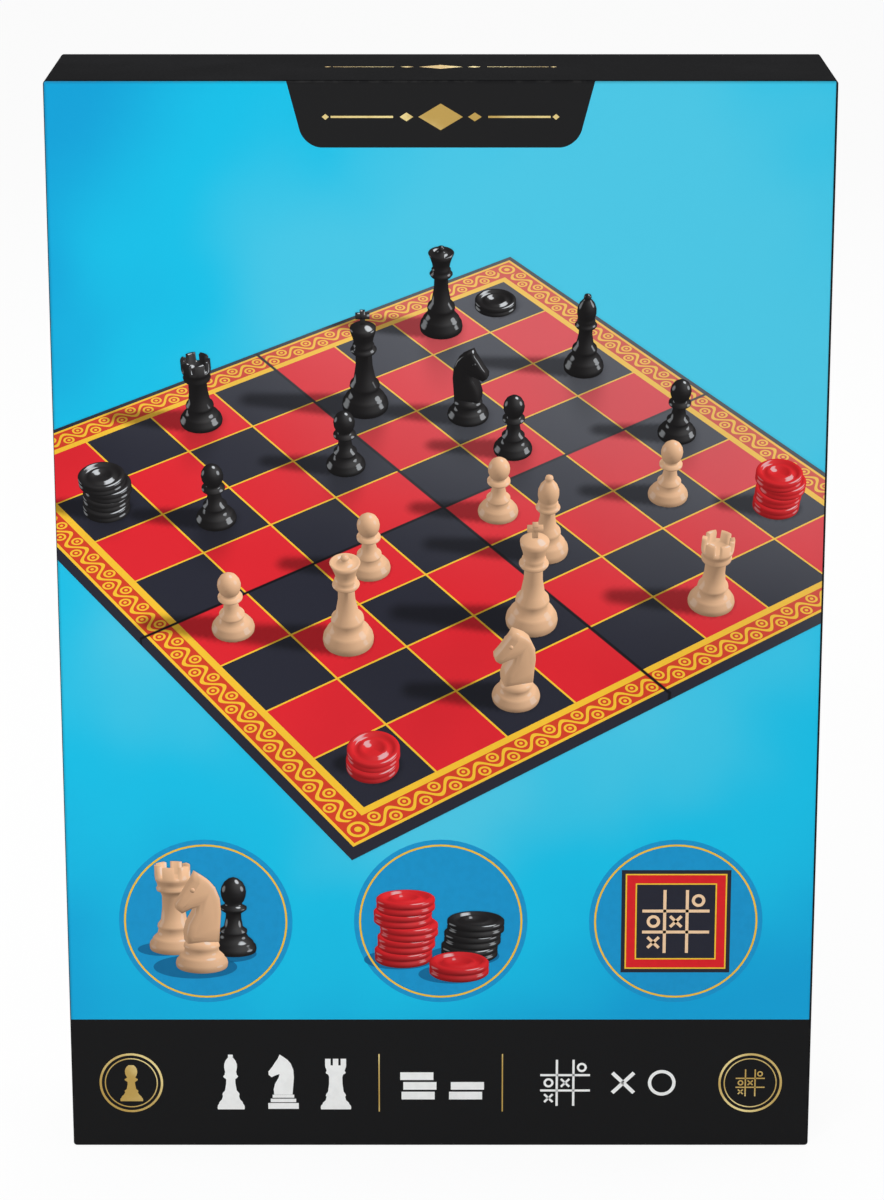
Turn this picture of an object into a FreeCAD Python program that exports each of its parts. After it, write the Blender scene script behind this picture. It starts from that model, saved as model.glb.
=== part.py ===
import FreeCAD, Part
import math
import os
from FreeCAD import Vector

os.makedirs("parts", exist_ok=True)

# Games compendium box: a rigid two-piece set-up box that stands on its short edge.
# The pieces are drawn with the box lying on its back: X is the width, Y the height
# of the standing box and Z the depth from the back panel to the printed front.
# stand_up() then turns every piece upright: origin under the middle of the box,
# front towards -Y, +Z up. All lengths are in millimetres.

# Driving dimensions: the box
box_width = 267.0
box_height = 388.0
box_depth = 64.0
lid_wall = 1.6
base_wall = 1.6
lid_fit = 0.5
lid_skirt_gap = 1.0
rim_gap = 0.3
lid_corner = 1.2
base_corner = 0.8
panel_edge_round = 0.6

# Driving dimensions: the moulded insert tray
tray_fit = 0.6
sheet = 0.8
tray_corner = 4.0
tray_border = 8.0
draft_share = 0.07
pocket_corner = 3.0
nest_fit = 0.3
nest_spacing = 1.5
row_end_room = 2.0
row_head_room = 2.0
scoop_radius = 9.0

# Driving dimensions: the rules leaflet
leaflet_width = 140.0
leaflet_height = 200.0
leaflet_thickness = 0.6

# Driving dimensions: the quarter-folding board, a share of the box's height
board_share = 0.4897
board_panel = board_share * box_height
board_thickness = 1.9
board_layer_gap = 0.15
board_fit = 0.8
board_headroom = 0.2
board_corner = 1.5

# Driving dimensions: the chess men and the draughts, which grow with the board they are for
drawn_panel = 190.0
men_scale = board_panel / drawn_panel
king_height = 64.0 * men_scale
king_base = 26.0 * men_scale
queen_height = 58.0 * men_scale
queen_base = 26.0 * men_scale
bishop_height = 51.0 * men_scale
bishop_base = 23.0 * men_scale
knight_height = 47.0 * men_scale
knight_base = 23.0 * men_scale
rook_height = 43.0 * men_scale
rook_base = 23.5 * men_scale
pawn_height = 38.0 * men_scale
pawn_base = 21.5 * men_scale
knight_head_thickness = 11.0
knight_flat_width = 5.0
rook_notch = 3.4
queen_notch = 2.2
bishop_slot = 1.4
cross_bar = 2.4
cross_span = 7.0

# Driving dimensions: the draughts
disc_diameter = 25.0 * men_scale
disc_thickness = 6.0
disc_gap = 0.3
disc_rim = 2.2
disc_recess = 0.9
disc_boss = 7.5
disc_count = 12
finger_gap = 20.0

# One overrun for every cut
overrun = 1.0

# Levels through the depth of the box, from the back panel forwards
base_depth = box_depth - lid_wall - rim_gap
board_stack = 4 * board_thickness + 3 * board_layer_gap
well_floor = base_depth - board_stack - board_headroom
nest_axis = well_floor - nest_fit - max(king_base, queen_base, disc_diameter) / 2

# Plan sizes that follow from the box
base_inset = lid_wall + lid_fit
base_width = box_width - 2 * base_inset
base_height = box_height - 2 * base_inset
tray_width = base_width - 2 * (base_wall + tray_fit)
tray_height = base_height - 2 * (base_wall + tray_fit)
middle_y = box_height / 2
tray_low = middle_y - tray_height / 2
tray_high = middle_y + tray_height / 2
well_size = board_panel + 2 * board_fit
well_centre = tray_high - tray_border - well_size / 2

# Turned outlines, from the foot up. A pair is a straight stretch to that point and
# four numbers are an arc through the first point to the second. Radii are shares of
# the base radius and heights are shares of the whole height.
pawn_shares = [(1.0, 0.0), (1.0, 0.07), (0.92, 0.125, 0.74, 0.15), (0.64, 0.17), (0.66, 0.21, 0.60, 0.245),
               (0.46, 0.27), (0.38, 0.42, 0.34, 0.56), (0.50, 0.58), (0.64, 0.61, 0.50, 0.64), (0.34, 0.67)]
pawn_ball_share = 0.58
rook_shares = [(1.0, 0.0), (1.0, 0.07), (0.93, 0.125, 0.76, 0.15), (0.68, 0.17), (0.72, 0.21, 0.66, 0.245),
               (0.58, 0.27), (0.50, 0.45, 0.47, 0.64), (0.60, 0.66), (0.70, 0.685, 0.60, 0.71), (0.62, 0.735),
               (0.70, 0.77), (0.70, 1.0), (0.50, 1.0), (0.50, 0.88), (0.0, 0.88)]
bishop_shares = [(1.0, 0.0), (1.0, 0.06), (0.92, 0.105, 0.74, 0.13), (0.66, 0.145), (0.69, 0.18, 0.62, 0.21),
                 (0.48, 0.23), (0.39, 0.38, 0.35, 0.53), (0.52, 0.545), (0.66, 0.57, 0.52, 0.595), (0.44, 0.61),
                 (0.48, 0.625, 0.38, 0.645), (0.54, 0.75, 0.16, 0.91)]
bishop_ball_share = 0.17
queen_shares = [(1.0, 0.0), (1.0, 0.055), (0.92, 0.095, 0.74, 0.12), (0.66, 0.135), (0.69, 0.17, 0.62, 0.20),
                (0.48, 0.22), (0.38, 0.40, 0.35, 0.59), (0.50, 0.605), (0.64, 0.63, 0.50, 0.655), (0.42, 0.67),
                (0.47, 0.685, 0.38, 0.70), (0.44, 0.81, 0.62, 0.915), (0.16, 0.925)]
queen_ball_share = 0.26
king_shares = [(1.0, 0.0), (1.0, 0.05), (0.92, 0.085, 0.74, 0.11), (0.66, 0.125), (0.69, 0.16, 0.62, 0.19),
               (0.50, 0.21), (0.40, 0.39, 0.36, 0.57), (0.52, 0.585), (0.66, 0.61, 0.52, 0.635), (0.44, 0.65),
               (0.49, 0.665, 0.40, 0.68), (0.46, 0.77, 0.60, 0.85), (0.34, 0.885), (0.0, 0.90)]
king_crown_share = 0.885
bishop_slot_low_share = 0.73
bishop_slot_turn = 35.0
rook_notch_low_share = 0.90
queen_notch_low_share = 0.865
cross_arm_share = 0.955
rook_notch_turns = (0.0, 60.0, 120.0)
queen_notch_turns = (0.0, 45.0, 90.0, 135.0)

# The knight: a turned foot and a horse's head drawn in profile, facing -X, in shares
# of the base radius across and of the whole height up
knight_foot_shares = [(1.0, 0.0), (1.0, 0.07), (0.94, 0.115, 0.80, 0.14), (0.72, 0.155), (0.75, 0.19, 0.72, 0.225),
                      (0.70, 0.26), (0.0, 0.26)]
knight_start_share = (0.64, 0.24)
knight_head_shares = [(0.90, 0.54, 0.46, 0.87), (0.34, 1.0), (0.10, 0.90), (-0.34, 0.84, -0.74, 0.67),
                      (-0.90, 0.60, -0.76, 0.53), (-0.50, 0.53), (-0.30, 0.585, -0.10, 0.57),
                      (-0.20, 0.44, -0.56, 0.36), (-0.66, 0.30, -0.62, 0.24)]
knight_bevel_share = 0.86
knight_centre_share = (0.05, 0.55)


def stand_up(shape):
    """Turn a piece from the lying frame to the standing one."""
    shape.rotate(Vector(0, 0, 0), Vector(1, 0, 0), 90)
    shape.translate(Vector(0, box_depth / 2, 0))
    return shape


def save(name, shape):
    stand_up(shape).exportStep("parts/" + name + ".step")


def rounded_rectangle(x, y, width, height, radius, z):
    """A closed wire of four sides and four corner arcs, centred on x, y."""
    edges = []
    half_w = width / 2 - radius
    half_h = height / 2 - radius
    corners = ((half_w, half_h), (-half_w, half_h), (-half_w, -half_h), (half_w, -half_h))
    for quarter, (cx, cy) in enumerate(corners):
        points = []
        for eighth in (0, 1, 2):
            turn = math.radians(90 * quarter + 45 * eighth)
            points.append(Vector(x + cx + radius * math.cos(turn), y + cy + radius * math.sin(turn), z))
        if edges:
            edges.append(Part.makeLine(edges[-1].Vertexes[-1].Point, points[0]))
        edges.append(Part.Arc(*points).toShape())
    edges.append(Part.makeLine(edges[-1].Vertexes[-1].Point, edges[0].Vertexes[0].Point))
    return Part.Wire(edges)


def block(x, y, width, height, radius, low, high):
    """A straight-sided block with rounded corners."""
    face = Part.Face(rounded_rectangle(x, y, width, height, radius, low))
    return face.extrude(Vector(0, 0, high - low))


def drafted_block(x, y, width, height, radius, low, high):
    """A block whose sides lean outwards towards its mouth, as a moulded pocket does."""
    lean = (high - low) * draft_share
    floor = rounded_rectangle(x, y, width, height, radius, low)
    mouth = rounded_rectangle(x, y, width + 2 * lean, height + 2 * lean, radius + lean, high)
    return Part.makeLoft([floor, mouth], True, True)


def front_edges(shape, level):
    """The edges that lie wholly in the plane at this level."""
    found = []
    for edge in shape.Edges:
        box = edge.BoundBox
        if box.ZMax - box.ZMin < panel_edge_round and abs(box.ZMax - level) < panel_edge_round:
            found.append(edge)
    return found


# The lid: printed front panel and four walls, softly rounded where the wrap folds over
def make_lid():
    outside = block(0, middle_y, box_width, box_height, lid_corner, lid_skirt_gap, box_depth)
    outside = outside.makeFillet(panel_edge_round, front_edges(outside, box_depth))
    inside = block(0, middle_y, box_width - 2 * lid_wall, box_height - 2 * lid_wall,
                   lid_corner / 2, lid_skirt_gap - overrun, box_depth - lid_wall)
    return outside.cut(inside)


# The base: back panel and four walls that slide up inside the lid
def make_base():
    outside = block(0, middle_y, base_width, base_height, base_corner, 0, base_depth)
    outside = outside.makeFillet(panel_edge_round, front_edges(outside, 0))
    inside = block(0, middle_y, base_width - 2 * base_wall, base_height - 2 * base_wall,
                   base_corner / 2, base_wall, base_depth + overrun)
    return outside.cut(inside)


def make_leaflet():
    return block(0, middle_y, leaflet_width, leaflet_height, board_corner,
                 base_wall, base_wall + leaflet_thickness)


# The board: four stiff quarters. From the tray up they are the near left quarter, the
# far left one folded onto it, then the far right and near right ones folded over both.
def make_board_quarter(layer):
    low = well_floor + layer * (board_thickness + board_layer_gap)
    return block(0, well_centre, board_panel, board_panel, board_corner, low, low + board_thickness)


def turned(shares, base, height, ball=0.0):
    """Revolve an outline about Z; a ball, if any, closes it at the top."""
    radius = base / 2
    here = Vector(0, 0, 0)
    edges = []
    for step in shares:
        end = Vector(step[-2] * radius, 0, step[-1] * height)
        if len(step) == 4:
            via = Vector(step[0] * radius, 0, step[1] * height)
            edges.append(Part.Arc(here, via, end).toShape())
        else:
            edges.append(Part.makeLine(here, end))
        here = end
    if ball:
        ball_radius = ball * radius
        centre = height - ball_radius
        sink = math.sqrt(ball_radius ** 2 - min(here.x, ball_radius) ** 2)
        seat = Vector(here.x, 0, centre - sink)
        if seat.distanceToPoint(here) > 0:
            edges.append(Part.makeLine(here, seat))
        crown = Vector(0, 0, height)
        edges.append(Part.Arc(seat, Vector(ball_radius, 0, centre), crown).toShape())
        here = crown
    edges.append(Part.makeLine(here, Vector(0, 0, 0)))
    face = Part.Face(Part.Wire(edges))
    return face.revolve(Vector(0, 0, 0), Vector(0, 0, 1), 360)


def bar_across(width, length, low, high, turn):
    """A bar centred on the axis, from one level to another, turned about Z."""
    bar = Part.makeBox(length, width, high - low, Vector(-length / 2, -width / 2, low))
    bar.rotate(Vector(0, 0, 0), Vector(0, 0, 1), turn)
    return bar


def make_pawn():
    return turned(pawn_shares, pawn_base, pawn_height, pawn_ball_share)


def make_rook():
    body = turned(rook_shares, rook_base, rook_height)
    low = rook_notch_low_share * rook_height
    notches = [bar_across(rook_notch, rook_base, low, rook_height + overrun, turn)
               for turn in rook_notch_turns]
    return body.cut(notches)


def make_bishop():
    """The mitre is cut by one slanting slot."""
    body = turned(bishop_shares, bishop_base, bishop_height, bishop_ball_share)
    slot = Part.makeBox(bishop_base, bishop_base, bishop_slot,
                        Vector(0, -bishop_base / 2, -bishop_slot / 2))
    slot.rotate(Vector(0, 0, 0), Vector(0, 1, 0), -bishop_slot_turn)
    slot.translate(Vector(0, 0, bishop_slot_low_share * bishop_height))
    return body.cut(slot)


def make_queen():
    body = turned(queen_shares, queen_base, queen_height, queen_ball_share)
    low = queen_notch_low_share * queen_height
    rim_low = queen_shares[-2][-1] * queen_height
    core = Part.makeCylinder(queen_ball_share * queen_base / 2, queen_height - low, Vector(0, 0, low))
    notches = [bar_across(queen_notch, queen_base, low, rim_low + overrun, turn).cut(core)
               for turn in queen_notch_turns]
    return body.cut(notches)


def make_king():
    """The crown carries a plain cross."""
    body = turned(king_shares, king_base, king_height)
    low = king_crown_share * king_height
    arm = cross_arm_share * king_height
    post = bar_across(cross_bar, cross_bar, low, king_height, 0)
    arms = bar_across(cross_bar, cross_span, arm - cross_bar / 2, arm + cross_bar / 2, 0)
    return body.fuse([post, arms]).removeSplitter()


def knight_outline(scale, across):
    """The horse's head in profile, shrunk about its middle, at a distance across."""
    radius = knight_base / 2

    def place(x_share, z_share):
        x = knight_centre_share[0] + scale * (x_share - knight_centre_share[0])
        z = knight_centre_share[1] + scale * (z_share - knight_centre_share[1])
        return Vector(x * radius, across, z * knight_height)

    here = place(*knight_start_share)
    edges = []
    for step in knight_head_shares:
        end = place(*step[-2:])
        if len(step) == 4:
            edges.append(Part.Arc(here, place(*step[:2]), end).toShape())
        else:
            edges.append(Part.makeLine(here, end))
        here = end
    edges.append(Part.makeLine(here, edges[0].Vertexes[0].Point))
    return Part.Wire(edges)


def make_knight():
    foot = turned(knight_foot_shares, knight_base, knight_height)
    sections = [knight_outline(knight_bevel_share, -knight_head_thickness / 2),
                knight_outline(1, -knight_flat_width / 2),
                knight_outline(1, knight_flat_width / 2),
                knight_outline(knight_bevel_share, knight_head_thickness / 2)]
    head = Part.makeLoft(sections, True, True)
    return foot.fuse(head)


def make_draught():
    """A stacking disc, dished inside its rim on both faces around a low boss."""
    radius = disc_diameter / 2
    inner = radius - disc_rim
    disc = Part.makeCylinder(radius, disc_thickness)
    rings = []
    for low in (-overrun, disc_thickness - disc_recess):
        ring = Part.makeCylinder(inner, disc_recess + overrun, Vector(0, 0, low))
        rings.append(ring.cut(Part.makeCylinder(disc_boss, disc_recess + overrun, Vector(0, 0, low))))
    return disc.cut(rings)


# Rows of the tray, from the top down: each army has its officers, its pawns and its draughts
officer_kinds = ["rook", "knight", "bishop", "queen", "king", "bishop", "knight", "rook"]
pawn_kinds = ["pawn"] * 8
makers = {"pawn": make_pawn, "rook": make_rook, "knight": make_knight,
          "bishop": make_bishop, "queen": make_queen, "king": make_king}
bases = {"pawn": pawn_base, "rook": rook_base, "knight": knight_base,
         "bishop": bishop_base, "queen": queen_base, "king": king_base}
officer_row_height = king_height + row_head_room
pawn_row_height = pawn_height + row_head_room
disc_row_height = disc_diameter + 2 * nest_fit
disc_pitch = disc_thickness + disc_gap
disc_row_width = disc_count * disc_pitch + finger_gap
rows_height = officer_row_height + pawn_row_height + disc_row_height


def row_places(top, bottom):
    """The low edges of the three rows in a stretch of tray, with even ribs between."""
    rib = (top - bottom - rows_height) / 4
    officers = top - rib - officer_row_height
    pawns = officers - rib - pawn_row_height
    discs = pawns - rib - disc_row_height
    return officers, pawns, discs


def nest_centres(kinds):
    """Places along X of a row of men, each beside the next with the nest spacing."""
    width = sum(bases[kind] for kind in kinds) + nest_spacing * (len(kinds) - 1)
    places = []
    x = -width / 2
    for kind in kinds:
        places.append(x + bases[kind] / 2)
        x += bases[kind] + nest_spacing
    return places, width


def men_row_pockets(kinds, low, height):
    """A long recess with one half-round nest for each man: inside and outside forms."""
    places, width = nest_centres(kinds)
    long_side = width + 2 * (nest_fit + row_end_room)
    middle = low + height / 2
    inside = [drafted_block(0, middle, long_side, height, pocket_corner, nest_axis, base_depth + overrun)]
    outside = [drafted_block(0, middle, long_side + 2 * sheet, height + 2 * sheet, pocket_corner + sheet,
                             nest_axis - sheet, base_depth)]
    along = Vector(0, 1, 0)
    for kind, x in zip(kinds, places):
        radius = bases[kind] / 2 + nest_fit
        inside.append(Part.makeCylinder(radius, height, Vector(x, low, nest_axis), along))
        outside.append(Part.makeCylinder(radius + sheet, height + 2 * sheet,
                                         Vector(x, low - sheet, nest_axis), along))
    return inside, outside


def disc_row_pockets(low):
    """One half-round channel along X for a stack of draughts and a finger beside it."""
    middle = low + disc_row_height / 2
    radius = disc_row_height / 2
    half = disc_row_width / 2
    along = Vector(1, 0, 0)
    inside = [drafted_block(0, middle, disc_row_width, disc_row_height, pocket_corner,
                            nest_axis, base_depth + overrun),
              Part.makeCylinder(radius, disc_row_width, Vector(-half, middle, nest_axis), along)]
    outside = [drafted_block(0, middle, disc_row_width + 2 * sheet, disc_row_height + 2 * sheet,
                             pocket_corner + sheet, nest_axis - sheet, base_depth),
               Part.makeCylinder(radius + sheet, disc_row_width + 2 * sheet,
                                 Vector(-half - sheet, middle, nest_axis), along)]
    return inside, outside


armies = {"dark": row_places(well_centre + well_size / 2, well_centre - well_size / 2),
          "light": row_places(well_centre - well_size / 2, tray_low + tray_border)}


# The insert tray: one thin formed sheet with a skirt, the board's well and the nests
def make_tray():
    outer = block(0, middle_y, tray_width, tray_height, tray_corner, base_wall, base_depth)
    hollow = block(0, middle_y, tray_width - 2 * sheet, tray_height - 2 * sheet, tray_corner - sheet,
                   base_wall - overrun, base_depth - sheet)
    inside = [drafted_block(0, well_centre, well_size, well_size, pocket_corner,
                            well_floor, base_depth + overrun)]
    outside = [outer.cut(hollow),
               drafted_block(0, well_centre, well_size + 2 * sheet, well_size + 2 * sheet,
                             pocket_corner + sheet, well_floor - sheet, base_depth)]
    for side in (-1, 1):
        middle = Vector(side * well_size / 2, armies["dark"][1] + pawn_row_height + scoop_radius, well_floor)
        inside.append(Part.makeCylinder(scoop_radius, base_depth - well_floor + overrun, middle))
        middle.z = well_floor - sheet
        outside.append(Part.makeCylinder(scoop_radius + sheet, base_depth - middle.z, middle))
    for officers, pawns, discs in armies.values():
        for cut, body in (men_row_pockets(officer_kinds, officers, officer_row_height),
                          men_row_pockets(pawn_kinds, pawns, pawn_row_height),
                          disc_row_pockets(discs)):
            inside += cut
            outside += body
    return outside[0].fuse(outside[1:]).cut(inside).removeSplitter()


def lay_man(shape, x, low):
    """Lay a man in its nest: its axis along the box's height and its foot at the low end."""
    shape.rotate(Vector(0, 0, 0), Vector(1, 0, 0), -90)
    shape.translate(Vector(x, low + nest_fit, nest_axis))
    return shape


def save_men(colour, kinds, low):
    """One node for each man, numbered where there are more of a kind."""
    places, width = nest_centres(kinds)
    seen = {}
    for kind, x in zip(kinds, places):
        seen[kind] = seen.get(kind, 0) + 1
        name = colour + "_" + kind
        if kinds.count(kind) > 1:
            name += "_" + str(seen[kind])
        save(name, lay_man(makers[kind](), x, low))


def make_draught_stack(low):
    """The stack of draughts on edge in its channel, as separate solids."""
    discs = []
    for number in range(disc_count):
        disc = make_draught()
        disc.rotate(Vector(0, 0, 0), Vector(0, 1, 0), 90)
        x = -disc_row_width / 2 + disc_gap + number * disc_pitch
        disc.translate(Vector(x, low + disc_row_height / 2, nest_axis))
        discs.append(disc)
    return Part.Compound(discs)


save("lid", make_lid())
save("base", make_base())
save("insert_tray", make_tray())
save("rules_leaflet", make_leaflet())
for layer, quarter in enumerate(("near_left", "far_left", "far_right", "near_right")):
    save("board_" + quarter, make_board_quarter(layer))
for colour, disc_colour in (("dark", "black"), ("light", "red")):
    officers, pawns, discs = armies[colour]
    save_men(colour, officer_kinds, officers)
    save_men(colour, pawn_kinds, pawns)
    save(disc_colour + "_draughts", make_draught_stack(discs))
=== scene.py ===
# %% [markdown]
# A games compendium box, dressed for its picture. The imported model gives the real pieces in
# metres: a rigid lid over a base, a formed tray, a folding board, men and draughts. This lesson
# gives each of them its finish and adds the printed front, one step at a time.

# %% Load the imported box
import math

import bmesh
import bpy
from mathutils import Matrix, Vector


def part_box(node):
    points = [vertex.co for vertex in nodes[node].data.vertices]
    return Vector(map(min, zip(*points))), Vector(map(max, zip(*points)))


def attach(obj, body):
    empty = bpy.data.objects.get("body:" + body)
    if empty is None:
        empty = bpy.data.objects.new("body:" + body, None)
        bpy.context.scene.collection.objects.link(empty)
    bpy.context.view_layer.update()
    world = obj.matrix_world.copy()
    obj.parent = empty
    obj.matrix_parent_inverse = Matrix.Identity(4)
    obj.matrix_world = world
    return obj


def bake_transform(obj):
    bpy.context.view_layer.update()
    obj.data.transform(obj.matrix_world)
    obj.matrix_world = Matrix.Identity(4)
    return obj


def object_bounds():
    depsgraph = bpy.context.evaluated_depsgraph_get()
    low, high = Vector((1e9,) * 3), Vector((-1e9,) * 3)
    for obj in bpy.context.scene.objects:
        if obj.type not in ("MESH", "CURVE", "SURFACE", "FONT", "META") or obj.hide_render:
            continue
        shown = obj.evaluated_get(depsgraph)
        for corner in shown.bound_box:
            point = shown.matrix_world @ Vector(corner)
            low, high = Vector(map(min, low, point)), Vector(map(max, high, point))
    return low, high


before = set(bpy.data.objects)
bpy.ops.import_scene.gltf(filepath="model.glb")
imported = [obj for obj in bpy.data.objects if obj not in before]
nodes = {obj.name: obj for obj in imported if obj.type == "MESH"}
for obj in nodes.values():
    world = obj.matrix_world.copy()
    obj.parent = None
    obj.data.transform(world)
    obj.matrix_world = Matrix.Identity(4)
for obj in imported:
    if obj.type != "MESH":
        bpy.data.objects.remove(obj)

cad_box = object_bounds()
lid_low, lid_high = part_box("lid")
box_width = lid_high.x - lid_low.x
box_height = lid_high.z - lid_low.z
box_depth = cad_box[1].y - cad_box[0].y
front = lid_low.y
millimetre = 0.001
print("box", [round(side / millimetre, 1) for side in (box_width, box_depth, box_height)], "mm")

# %% [markdown]
# The camera stands where the photograph was taken: straight in front, a little above, with a long
# lens. Its focal length in pixels, its distance and its tilt were worked out from the six corners
# of the box that the photograph shows. A sensor as wide as the picture's long side turns pixels
# into a lens.

# %% Camera
picture_height = 1200
focal_pixels = 3806.0
camera_tilt = math.radians(16.2)
camera_distance = 4.970 * box_width
aim = Vector((0.0017 * box_width, front, 0.7739 * box_width))
sensor = 36.0

camera_data = bpy.data.cameras.new("photo_camera")
camera_data.sensor_width = sensor
camera_data.lens = sensor * focal_pixels / picture_height
camera = bpy.data.objects.new("photo_camera", camera_data)
bpy.context.scene.collection.objects.link(camera)
back_off = Vector((0, -math.cos(camera_tilt), math.sin(camera_tilt)))
camera.location = aim + camera_distance * back_off
camera.rotation_euler = (-back_off).to_track_quat("-Z", "Y").to_euler()
bpy.context.scene.camera = camera
bpy.context.scene.view_settings.view_transform = "Standard"
print("lens", round(camera_data.lens, 1), "mm")

# %% [markdown]
# Shader maths reads best as ordinary sums. A Wire is the output of one node: adding, multiplying or
# comparing Wires adds the Math nodes that do it. A Finish is a material in the making, and its node
# method adds any other kind of node from its settings and its inputs.

# %% Tools for mixing a finish
def maths(operation, swapped=False):
    """A method of Wire that adds one Math node."""
    def method(wire, other=0.0):
        left, right = (other, wire) if swapped else (wire, other)
        return wire.finish.node("ShaderNodeMath", {"operation": operation}, {0: left, 1: right})
    return method


class Wire:
    """The output of a node, which takes part in Python expressions."""

    def __init__(self, finish, socket):
        self.finish = finish
        self.socket = socket

    __add__ = __radd__ = maths("ADD")
    __mul__ = __rmul__ = maths("MULTIPLY")
    __sub__ = maths("SUBTRACT")
    __rsub__ = maths("SUBTRACT", swapped=True)
    __truediv__ = maths("DIVIDE")
    __mod__ = maths("FLOORED_MODULO")
    __lt__ = maths("LESS_THAN")
    __gt__ = maths("GREATER_THAN")
    __abs__ = maths("ABSOLUTE")
    larger = maths("MAXIMUM")
    smaller = maths("MINIMUM")
    floor = maths("FLOOR")
    sine = maths("SINE")


class Finish:
    """A material in the making, or the world, with its node tree and its shader."""

    def __init__(self, name, world=None):
        self.material = world or bpy.data.materials.new(name)
        self.material.use_nodes = True
        self.tree = self.material.node_tree
        self.shader = self.tree.nodes["Background" if world else "Principled BSDF"]

    def feed(self, socket, value):
        if isinstance(value, Wire):
            self.tree.links.new(value.socket, socket)
        else:
            socket.default_value = value

    def node(self, kind, settings=None, sockets=None, out=0):
        made = self.tree.nodes.new(kind)
        for key, value in (settings or {}).items():
            setattr(made, key, value)
        for key, value in (sockets or {}).items():
            self.feed(made.inputs[key], value)
        return Wire(self, made.outputs[out])

    def vector_maths(self, operation, first, second=(0, 0, 0), out=0):
        return self.node("ShaderNodeVectorMath", {"operation": operation}, {0: first, 1: second}, out)

    def stored(self, name, out):
        """What a mesh attribute holds at the point."""
        return self.node("ShaderNodeAttribute", {"attribute_name": name}, out=out)

    def parts(self, vector):
        return [self.node("ShaderNodeSeparateXYZ", sockets={0: vector}, out=axis) for axis in "XYZ"]

    def point(self):
        return self.node("ShaderNodeTexCoord", out="Object")

    def place(self):
        """The point on the object, as three Wires in metres."""
        return self.parts(self.point())

    def facing(self):
        """The direction that the surface faces, as three Wires."""
        return self.parts(self.node("ShaderNodeTexCoord", out="Normal"))

    def noise(self, scale, detail=3.0, roughness=0.5, distortion=0.0):
        return self.node("ShaderNodeTexNoise", {}, {"Vector": self.point(), "Scale": scale, "Detail": detail,
                                                    "Roughness": roughness, "Distortion": distortion})

    def mix(self, share, first, second):
        """One colour over another, where the share is 1."""
        return self.node("ShaderNodeMix", {"data_type": "RGBA"}, {0: share, 6: first, 7: second}, out=2)

    def smooth(self, value, start, end):
        """0 below start, 1 above end and a soft step between."""
        return self.node("ShaderNodeMapRange", {"interpolation_type": "SMOOTHSTEP"},
                         {"Value": value, "From Min": start, "From Max": end})

    def bump(self, height, strength, distance):
        return self.node("ShaderNodeBump", {},
                         {"Height": height, "Strength": strength, "Distance": distance})

    def surface(self, values):
        for name, value in values.items():
            self.feed(self.shader.inputs[name], value)
        return self.material


def ink(red, green, blue):
    """A screen colour from 0 to 255, as the linear colour that shaders use."""
    linear = []
    for part in (red, green, blue):
        share = part / 255
        linear.append(share / 12.92 if share <= 0.04045 else ((share + 0.055) / 1.055) ** 2.4)
    return (*linear, 1)


def dress(names, material):
    """Give CAD nodes one material."""
    for name in names:
        slots = nodes[name].data.materials
        slots.clear()
        slots.append(material)


def to_object(shape, name, material):
    """Turn a finished bmesh into an object of one material."""
    mesh = bpy.data.meshes.new(name)
    shape.to_mesh(mesh)
    shape.free()
    mesh.materials.append(material)
    piece = bpy.data.objects.new(name, mesh)
    bpy.context.scene.collection.objects.link(piece)
    return piece


def new_points(made):
    """The vertices among what a bmesh operator made."""
    return [part for part in made["geom"] if isinstance(part, bmesh.types.BMVert)]


print("tools ready")

# %% [markdown]
# A plain studio: a pale floor that runs on without a horizon, a large soft light from the front and
# a weaker one on each side. The floor and the world look white to the camera and to reflections,
# but light the box only gently, so its colours come out about as they are mixed.

# %% Studio
floor_size = 60 * box_width
paper_white = ink(250, 250, 250)
floor_glow = 0.93
soft_fill = 0.42


def seen_straight(paint):
    """1 for what the camera sees, by itself or in a mirror or through glass, and 0 for lighting."""
    camera_ray, glossy_ray, clear_ray = [paint.node("ShaderNodeLightPath", out="Is " + ray + " Ray")
                                         for ray in ("Camera", "Glossy", "Transmission")]
    return camera_ray.larger(glossy_ray).larger(clear_ray)


def make_floor():
    paint = Finish("studio_floor")
    paint.surface({"Base Color": paper_white, "Roughness": 0.9})
    glow = paint.node("ShaderNodeEmission", {}, {"Color": (1, 1, 1, 1), "Strength": 1.0})
    mixed = paint.node("ShaderNodeMixShader", {}, {0: floor_glow * seen_straight(paint),
                                                   1: Wire(paint, paint.shader.outputs[0]), 2: glow})
    paint.feed(paint.tree.nodes["Material Output"].inputs["Surface"], mixed)
    sheet = bmesh.new()
    bmesh.ops.create_grid(sheet, x_segments=2, y_segments=2, size=floor_size / 2)
    to_object(sheet, "studio_floor", paint.material)


def make_world():
    world = bpy.data.worlds.new("studio_world")
    bpy.context.scene.world = world
    paint = Finish("studio_world", world)
    paint.surface({"Color": (1, 1, 1, 1), "Strength": soft_fill + (1 - soft_fill) * seen_straight(paint)})


def make_lamp(name, place, size, power):
    lamp_data = bpy.data.lights.new(name, "AREA")
    lamp_data.shape = "RECTANGLE"
    lamp_data.size = size
    lamp_data.size_y = size
    lamp_data.energy = power
    lamp = bpy.data.objects.new(name, lamp_data)
    bpy.context.scene.collection.objects.link(lamp)
    lamp.location = Vector(place) * box_width
    target = Vector((0, 0, box_height / 2))
    lamp.rotation_euler = (target - lamp.location).to_track_quat("-Z", "Y").to_euler()


make_floor()
make_world()
make_lamp("front_softbox", (-1.6, -5.0, 4.2), 2.6 * box_width, 13.0)
make_lamp("left_softbox", (-4.5, 0.8, 3.0), 2.0 * box_width, 5.0)
make_lamp("right_softbox", (4.5, 1.5, 2.6), 2.0 * box_width, 4.0)
make_lamp("back_softbox", (0.5, 5.0, 4.5), 2.2 * box_width, 6.0)
print("lamps", len(bpy.data.lights))

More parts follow.
